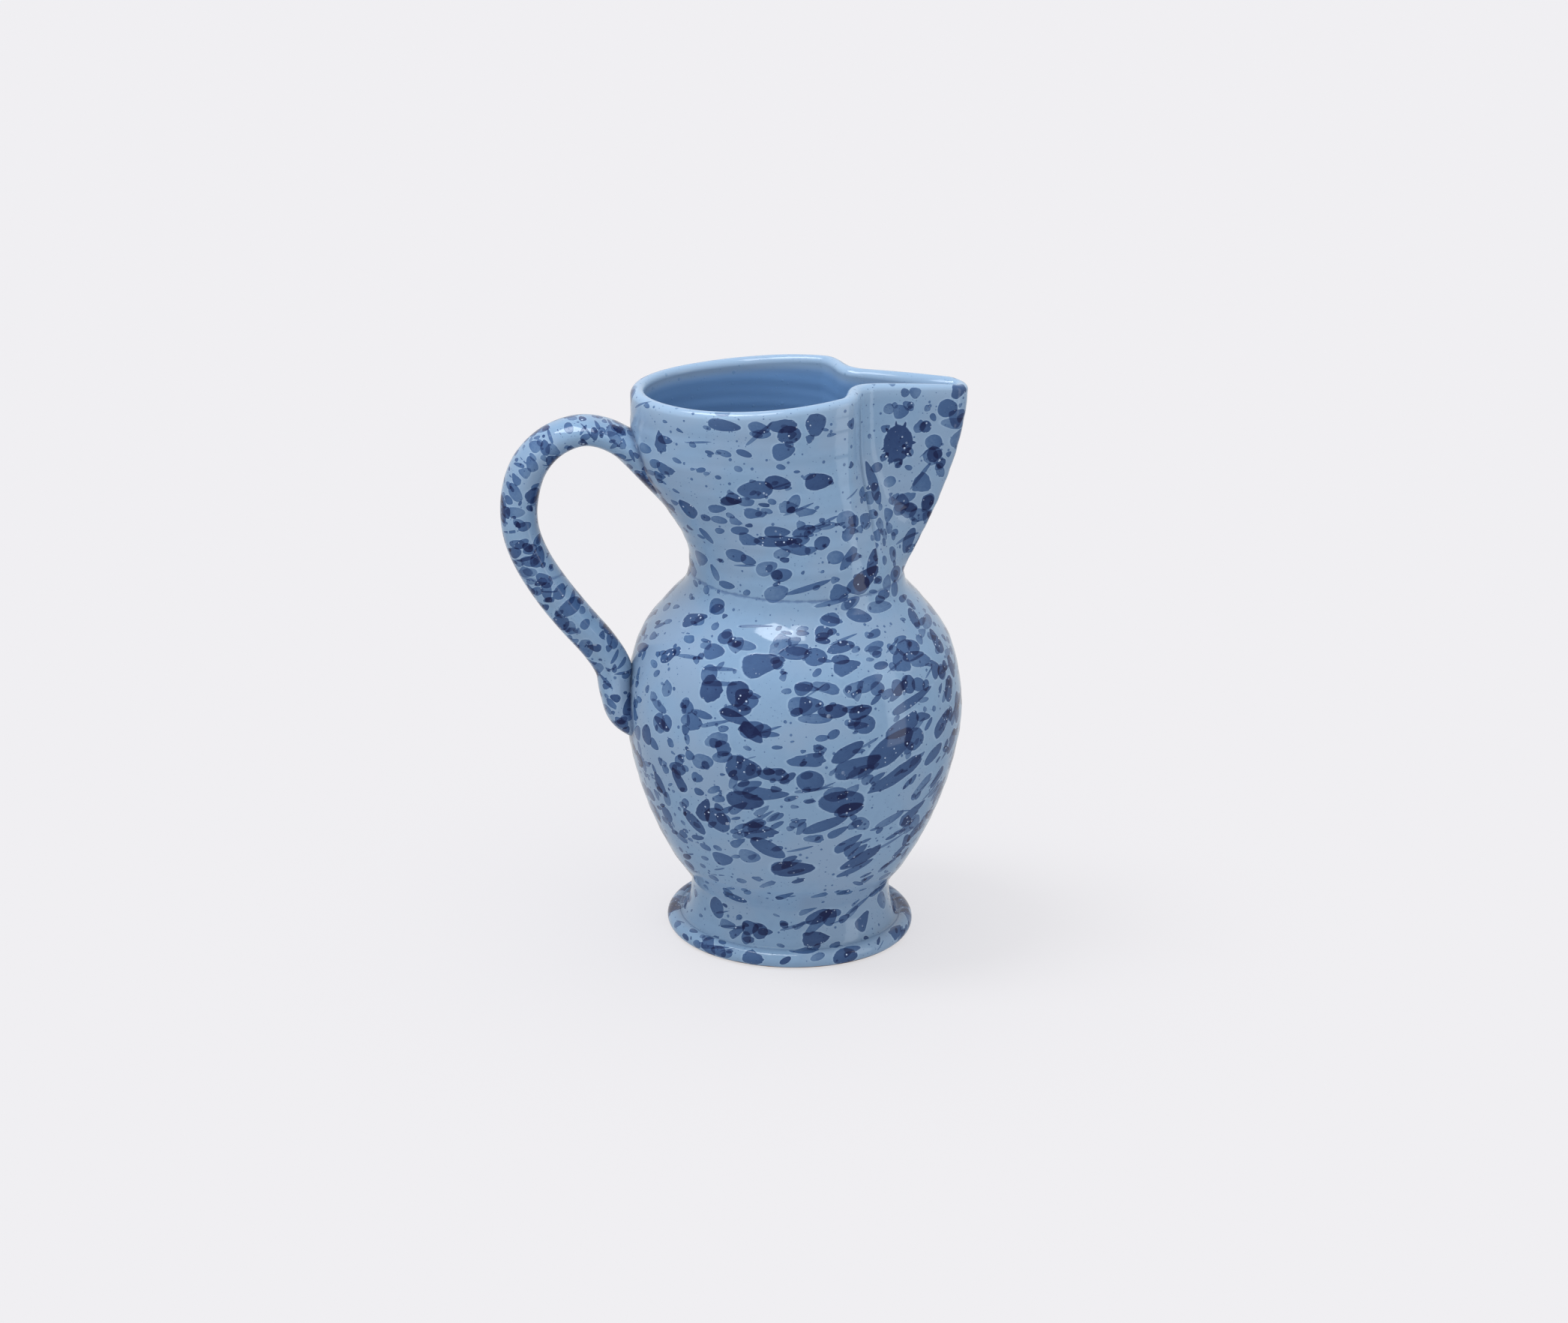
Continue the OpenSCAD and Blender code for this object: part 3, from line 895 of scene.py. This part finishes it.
def drop_group():
    """Node group: thickness of pigment, and the pale ring round it, from a place inside one drop."""
    group = bpy.data.node_groups.new("pigment_drop", "ShaderNodeTree")
    group.interface.new_socket("Place", in_out="INPUT", socket_type="NodeSocketVector")
    group.interface.new_socket("Thickness", in_out="OUTPUT", socket_type="NodeSocketFloat")
    group.interface.new_socket("Ring", in_out="OUTPUT", socket_type="NodeSocketFloat")
    n = Nodes(group)
    place = n.add("NodeGroupInput").outputs[0]
    a, b, code = n.add("ShaderNodeSeparateXYZ", {0: place}).outputs
    # The whole part of the code picks the drop's shape and the rest says how heavy it is.
    seed = n.math("FLOOR", code)
    weight = n.math("FRACT", code)
    kind = n.math("FRACT", n.times(seed, 0.618))
    lean = n.math("FRACT", n.times(seed, 0.377))
    taper = n.times(n.minus(lean, 0.35), 0.8)
    widened = n.times(b, n.math("MULTIPLY_ADD", a, taper, 1.0))
    flat = n.add("ShaderNodeCombineXYZ", {0: a, 1: widened}).outputs[0]
    radius = n.vector("LENGTH", flat)
    direction = n.vector("NORMALIZE", flat)
    from_seed = n.add("ShaderNodeCombineXYZ", {0: seed, 1: kind, 2: seed}).outputs[0]
    lobes = n.minus(n.noise(n.vector("ADD", direction, from_seed), 1.1, 1.0, 0.5), 0.5)
    ragged = n.minus(n.noise(n.vector("ADD", flat, from_seed), 3.4, 3.0, 0.65), 0.5)
    lobe_size = n.fade(kind, 0.6, 1.0, 0.16, 0.7)
    wobble = n.math("MULTIPLY_ADD", lobes, lobe_size, n.times(ragged, 0.12))
    # The heaviest drops splash out into short spikes.
    spikes = n.fade(n.noise(n.vector("ADD", direction, from_seed), 4.5, 1.0, 0.5), 0.5, 0.7)
    splash = n.times(spikes, n.fade(weight, 0.86, 0.94, 0.0, -0.28))
    reach = n.plus(radius, n.plus(wobble, splash))
    cover = n.fade(reach, 1.03, 0.95)
    # Pigment gathers at the rim of a drop and towards one end.
    darkening = n.math("MULTIPLY_ADD", n.fade(reach, 0.3, 1.0), 0.07, n.times(a, 0.16))
    body = n.plus(n.math("MULTIPLY_ADD", weight, 1.25, 0.72), darkening)
    body = n.math("MULTIPLY_ADD", ragged, 0.4, body)
    n.add("NodeGroupOutput", {0: n.times(cover, body), 1: n.fade(reach, 1.22, 1.0)})
    return group


GLAZE_STOPS = [
    (0.0, srgb(127, 156, 186)),
    (0.31, srgb(69, 98, 139)),
    (0.62, srgb(43, 66, 108)),
    (1.0, srgb(18, 31, 72)),
]
FULL_THICKNESS = 3.2
GLOSSY, CLAY_ROUGHER = 0.07, 0.6
INNER_BLUE = srgb(104, 144, 190)
PALE_EDGE = srgb(158, 183, 209)
GREYED_BLUE = srgb(134, 156, 182)
PINHOLE = srgb(178, 196, 220)
BARE_CLAY = srgb(110, 88, 74)
# Crease colour under the collar: glaze that pools there, and painted shade of the crease.
CREASE_GLAZE_AND_SHADE = srgb(56, 84, 132)
# Joint colour where the handle meets the pot: glaze that gathers there, and painted shade of the joins.
JOINT_GLAZE_AND_SHADE = srgb(34, 52, 96)


def painted_drops(n, drops):
    """Thickness of pigment from all drops on a face, and the pale rings round them."""
    total, rings = 0.0, 0.0
    for number in range(DROP_SLOTS):
        place = n.attribute(f"drop{number}", "Vector")
        drop = n.add("ShaderNodeGroup", {0: place}, node_tree=drops)
        total = n.plus(drop.outputs[0], total)
        rings = n.math("MAXIMUM", drop.outputs[1], rings)
    return total, rings


def with_mist(n, position, total):
    """Adds fine dots from two sizes of cells, each dot with its own radius."""
    for scale, largest, weight in ((330, 0.34, 0.9), (700, 0.30, 0.7)):
        cell = n.cells(position, scale)
        size = n.math("POWER", n.channel(cell.outputs["Color"], 0), 3)
        inner = n.times(n.times(size, largest), 0.7)
        dots = n.fade(n.minus(cell.outputs["Distance"], inner), 0.06, 0.0, 0.0, weight)
        shown = n.times(dots, n.math("GREATER_THAN", size, 0.12))
        total = n.plus(shown, total)
    return total


def pinholes_and_bubbles(n, position, thick):
    """Tiny pale holes, and a few larger bubbles, where the pigment lies thick."""
    pores = n.cells(position, 520)
    pore_size = n.math("POWER", n.channel(pores.outputs["Color"], 1), 2.0)
    pore_limit = n.times(pore_size, 0.26)
    pore = n.fade(n.minus(pores.outputs["Distance"], pore_limit), 0.05, 0.0)
    bubbles = n.cells(position, 150)
    bubble = n.fade(bubbles.outputs["Distance"], 0.18, 0.1, 0.0, 0.5)
    chosen = n.math("GREATER_THAN", n.channel(bubbles.outputs["Color"], 0), 0.85)
    return n.times(pore, thick), n.times(n.times(bubble, chosen), thick)


def inner_glaze(n, height, clouds):
    """Plain darker glaze with faint rings from the wheel."""
    rings = n.math("SINE", n.math("MULTIPLY_ADD", clouds, 9.0, n.times(height, 1500)))
    return n.mix(n.math("MULTIPLY_ADD", rings, 0.012, 0.04), INNER_BLUE, PALE_EDGE)


def neck_crease(n, height, mottle):
    """Share of darker colour in the crease under the collar, partly glaze that pools there and partly painted
    shade of the crease.
    """
    from_neck = n.math("ABSOLUTE", n.minus(height, NECK_Z * MM))
    uneven = n.math("MULTIPLY_ADD", n.minus(mottle, 0.5), 2.5 * MM, from_neck)
    return n.fade(uneven, 1.0 * MM, 0.1 * MM, 0.0, 0.55)


def glaze_material(name, drops, bare_foot):
    """Splattered blue glaze, gloss and all, for one slot."""
    material = bpy.data.materials.new(name)
    material.use_nodes = True
    n = Nodes(material.node_tree)
    material.node_tree.nodes.clear()
    position = n.add("ShaderNodeTexCoord").outputs["Object"]
    height = n.channel(position, 2)
    inside, thin, joint_glaze_and_shade = n.attribute("inside"), n.attribute("thin"), n.attribute("joint_glaze_and_shade")
    outside = n.minus(1.0, inside)
    clouds = n.noise(position, 28, 3.0, 0.55)
    mottle = n.noise(position, 260, 3.0, 0.6)

    total, rings = painted_drops(n, drops)
    total = with_mist(n, position, total)
    uneven = n.math("MULTIPLY_ADD", n.minus(mottle, 0.5), 0.35, total)
    pigment = n.times(n.times(uneven, outside), 1 / FULL_THICKNESS)
    colour = n.ramp(pigment, GLAZE_STOPS)

    bare_share = n.fade(total, 0.5, 0.0)
    greyed = n.times(n.fade(clouds, 0.42, 0.62), n.times(bare_share, 0.7))
    colour = n.mix(greyed, colour, GREYED_BLUE)
    halo = n.times(rings, n.times(bare_share, 0.35))
    colour = n.mix(halo, colour, PALE_EDGE)

    clusters = n.fade(n.noise(position, 95, 2.0), 0.42, 0.52)
    thick = n.times(n.times(n.fade(total, 1.15, 1.6), clusters), outside)
    pitted, bubbled = pinholes_and_bubbles(n, position, thick)
    colour = n.mix(pitted, colour, PINHOLE)
    colour = n.mix(bubbled, colour, PINHOLE)

    inner_share = n.times(inside, n.fade(thin, 0.9, 0.2))
    colour = n.mix(inner_share, colour, inner_glaze(n, height, clouds))
    worn_lip = n.times(thin, n.fade(bare_share, 0.0, 1.0, 0.05, 0.5))
    colour = n.mix(worn_lip, colour, PALE_EDGE)

    # Darker colour in the crease under the collar and where the handle joins the pot: partly glaze that
    # gathers there, partly painted shade of these creases.
    crease_glaze_and_shade = n.times(neck_crease(n, height, mottle), outside)
    colour = n.mix(crease_glaze_and_shade, colour, CREASE_GLAZE_AND_SHADE)
    # Painted shade, with glaze that gathers, where the handle joins the pot.
    darkening = n.times(joint_glaze_and_shade, n.fade(mottle, 0.3, 0.6, 0.45, 0.85))
    colour = n.mix(darkening, colour, JOINT_GLAZE_AND_SHADE)

    rough = GLOSSY
    if bare_foot:
        line = n.math("MULTIPLY_ADD", n.noise(position, 160, 2.0), 1.2 * MM, height)
        bare = n.fade(line, 1.9 * MM, 1.4 * MM)
        colour = n.mix(bare, colour, BARE_CLAY)
        rough = n.math("MULTIPLY_ADD", bare, CLAY_ROUGHER, GLOSSY)

    relief = n.math("MULTIPLY_ADD", n.noise(position, 45, 2.0), 1.6, n.math("MINIMUM", total, 1.5))
    relief = n.minus(relief, n.times(pitted, 1.5))
    bump = n.add("ShaderNodeBump", {"Height": relief, "Strength": 0.35, "Distance": 0.25 * MM})
    shader = n.add("ShaderNodeBsdfPrincipled", {
        "Base Color": colour, "Roughness": rough, "Normal": bump.outputs[0],
        "IOR": 1.5,
    })
    n.add("ShaderNodeOutputMaterial", {"Surface": shader.outputs[0]})
    return material


# -------- the pitcher
sheets = [
    foot_sheet(),
    belly_sheet(),
    wall_sheet("collar_wall", "collar_glaze", CREASE, 2 * math.pi - CREASE, COLLAR_COLUMNS),
    wall_sheet("spout_beak", "spout_glaze", -CREASE, CREASE, SPOUT_COLUMNS),
    handle_sheet(),
]
handle = sheets[-1]
joints = handle.points[handle.row(0) + handle.row(-1)]
target = Target(sheets)
rng = np.random.default_rng(SEED)
landed = placed_drops(target, rng) + thrown_drops(target, rng) + handle_drops(target, rng)
# The largest land first, so that a crowded face only goes without small ones.
for drop in sorted(landed, key=lambda d: -d[2] * d[3]):
    target.land(drop)

drops = drop_group()
pot_pieces = []
for sheet, laid, node in zip(sheets, target.drops, ("foot", "belly", "collar", "spout", "handle")):
    material = glaze_material(sheet.slot, drops, bare_foot=node == "foot")
    # Painted shade, with glaze that gathers, along the handle's joins.
    joint_glaze_and_shade = near_joint(sheet.points, joints)
    pot_pieces.append(shown_piece(sheet, laid, joint_glaze_and_shade, node, material))


# -------- floor, light and camera
PAPER = (0.871, 0.863, 0.888)
# Strength of the light on bare paper; divided by it, lit colour and glow add up to PAPER.
PAPER_LIT = 1.07
COOL = (0.9, 0.95, 1.0)
BEND_START, BEND_RADIUS, BACKDROP_TOP, HALF_WIDTH = 2.2, 1.5, 6.0, 6.0
# Soft lamps as (name, place, size, power, seen in reflections).
SOFT_LIGHTS = [
    ("from_left", (-1.3, -0.6, 0.6), (0.8, 0.8), 2.2, False),
    ("window_left", (-0.41, -0.15, 1.40), (0.9, 0.42), 10.0, True),
    ("window_right", (-0.02, -0.34, 1.40), (0.2, 0.6), 2.0, True),
    ("strip", (1.3, -0.6, 0.35), (0.4, 1.4), 2.2, True),
]
LIGHT_AIM = (0, 0, 0.13)


def paper_material():
    """Pale studio paper that glows more with distance from the pot, so that its shadow fades out."""
    material = bpy.data.materials.new("floor_paper")
    material.use_nodes = True
    n = Nodes(material.node_tree)
    away = n.vector("LENGTH", n.add("ShaderNodeTexCoord").outputs["Object"])
    glow = n.fade(away, 0.07, 0.28, 0.68, 0.95)
    share = n.math("DIVIDE", n.minus(1.0, glow), PAPER_LIT)
    shader = material.node_tree.nodes["Principled BSDF"]
    n.tree.links.new(n.mix(share, (0.0, 0.0, 0.0, 1.0), (*PAPER, 1.0)), shader.inputs["Base Color"])
    n.tree.links.new(glow, shader.inputs["Emission Strength"])
    shader.inputs["Emission Color"].default_value = (*PAPER, 1.0)
    shader.inputs["Roughness"].default_value = 1.0
    shader.inputs["Specular IOR Level"].default_value = 0.0
    return material


def sweep():
    """Pale floor that curves up into a backdrop behind the camera's view."""
    line = [(-3.0, 0.0), (BEND_START, 0.0)]
    for k in range(1, 13):
        turn = math.radians(7.5 * k)
        line.append((BEND_START + BEND_RADIUS * math.sin(turn), BEND_RADIUS - BEND_RADIUS * math.cos(turn)))
    line.append((BEND_START + BEND_RADIUS, BACKDROP_TOP))
    vertices = [(x, y, z) for y, z in line for x in (-HALF_WIDTH, HALF_WIDTH)]
    faces = [(2 * k, 2 * k + 1, 2 * k + 3, 2 * k + 2) for k in range(len(line) - 1)]
    mesh = bpy.data.meshes.new("floor")
    mesh.from_pydata(vertices, [], faces)
    mesh.shade_smooth()
    mesh.materials.append(paper_material())
    floor = in_scene("floor", mesh)
    floor.visible_glossy = False
    return floor


def aimed(name, data, place, aim, only_on):
    """Lamp turned to a point and lighting one collection."""
    lamp = in_scene(name, data)
    lamp.location = place
    lamp.rotation_euler = (Vector(aim) - Vector(place)).to_track_quat("-Z", "Y").to_euler()
    lamp.light_linking.receiver_collection = only_on
    return lamp


def soft_light(name, place, size, power, mirrored, only_on):
    """Rectangular lamp aimed at the middle of the pot."""
    data = bpy.data.lights.new(name, "AREA")
    data.shape = "RECTANGLE"
    data.size, data.size_y = size
    data.energy = power
    data.color = COOL
    aimed(name, data, place, LIGHT_AIM, only_on).visible_glossy = mirrored


def shadow_light(only_on):
    """Weak sun that throws the pot's soft shadow to the right."""
    data = bpy.data.lights.new("shadow", "SUN")
    data.energy = 0.9
    data.angle = math.radians(24)
    aimed("shadow", data, (-0.75, 0.0, 1.4), (0, 0, 0), only_on)


def surroundings(for_light, low_gloss, high_gloss, behind_gloss):
    """Even pale room; reflections see it dimmer, except for the white backdrop behind the pot."""
    world = bpy.data.worlds.new("studio")
    world.use_nodes = True
    n = Nodes(world.node_tree)
    background = world.node_tree.nodes["Background"]
    background.inputs["Color"].default_value = (1.0, 1.0, 1.0, 1.0)
    direction = n.add("ShaderNodeTexCoord").outputs["Generated"]
    depth, height = n.add("ShaderNodeSeparateXYZ", {0: direction}).outputs[1:]
    above = n.fade(height, -0.3, 1.0, low_gloss, high_gloss)
    dimmed = n.plus(above, n.fade(depth, 0.5, 0.97, 0.0, behind_gloss))
    gloss = n.add("ShaderNodeLightPath").outputs["Is Glossy Ray"]
    level = n.add("ShaderNodeMix", {0: gloss, 2: for_light, 3: dimmed}).outputs[0]
    n.tree.links.new(level, background.inputs["Strength"])
    bpy.context.scene.world = world


def camera():
    """Camera a little above the rim, at the front, with the spout to the right."""
    distance, elevation, yaw, roll = 1.832, math.radians(19.6), math.radians(6.5), math.radians(1.04)
    aim = Vector((-0.00455, 0.0, 0.122))
    back = Vector((0.0, -math.cos(elevation), math.sin(elevation)))
    turn = Matrix.Rotation(-yaw, 4, "Z")
    forward = -back
    right = Vector((1.0, 0.0, 0.0))
    up = right.cross(forward)
    leaned_right = right * math.cos(roll) + up * math.sin(roll)
    leaned_up = up * math.cos(roll) - right * math.sin(roll)
    axes = Matrix((leaned_right, leaned_up, back)).transposed().to_4x4()
    data = bpy.data.cameras.new("camera")
    data.sensor_width = 36
    data.lens = 97.1
    data.clip_end = 50
    eye = in_scene("camera", data)
    eye.matrix_world = turn @ Matrix.Translation(aim + back * distance) @ axes
    bpy.context.scene.camera = eye


def collection_of(name, pieces):
    """Collection outside the scene, for linking lamps to what they light."""
    collection = bpy.data.collections.new(name)
    for piece in pieces:
        collection.objects.link(piece)
    return collection


pot_only = collection_of("pot_only", pot_pieces)
floor_only = collection_of("floor_only", [sweep()])
surroundings(for_light=0.82, low_gloss=0.24, high_gloss=0.42, behind_gloss=0.45)
shadow_light(floor_only)
for row in SOFT_LIGHTS:
    soft_light(*row, pot_only)
camera()
bpy.context.scene.view_settings.view_transform = "Standard"
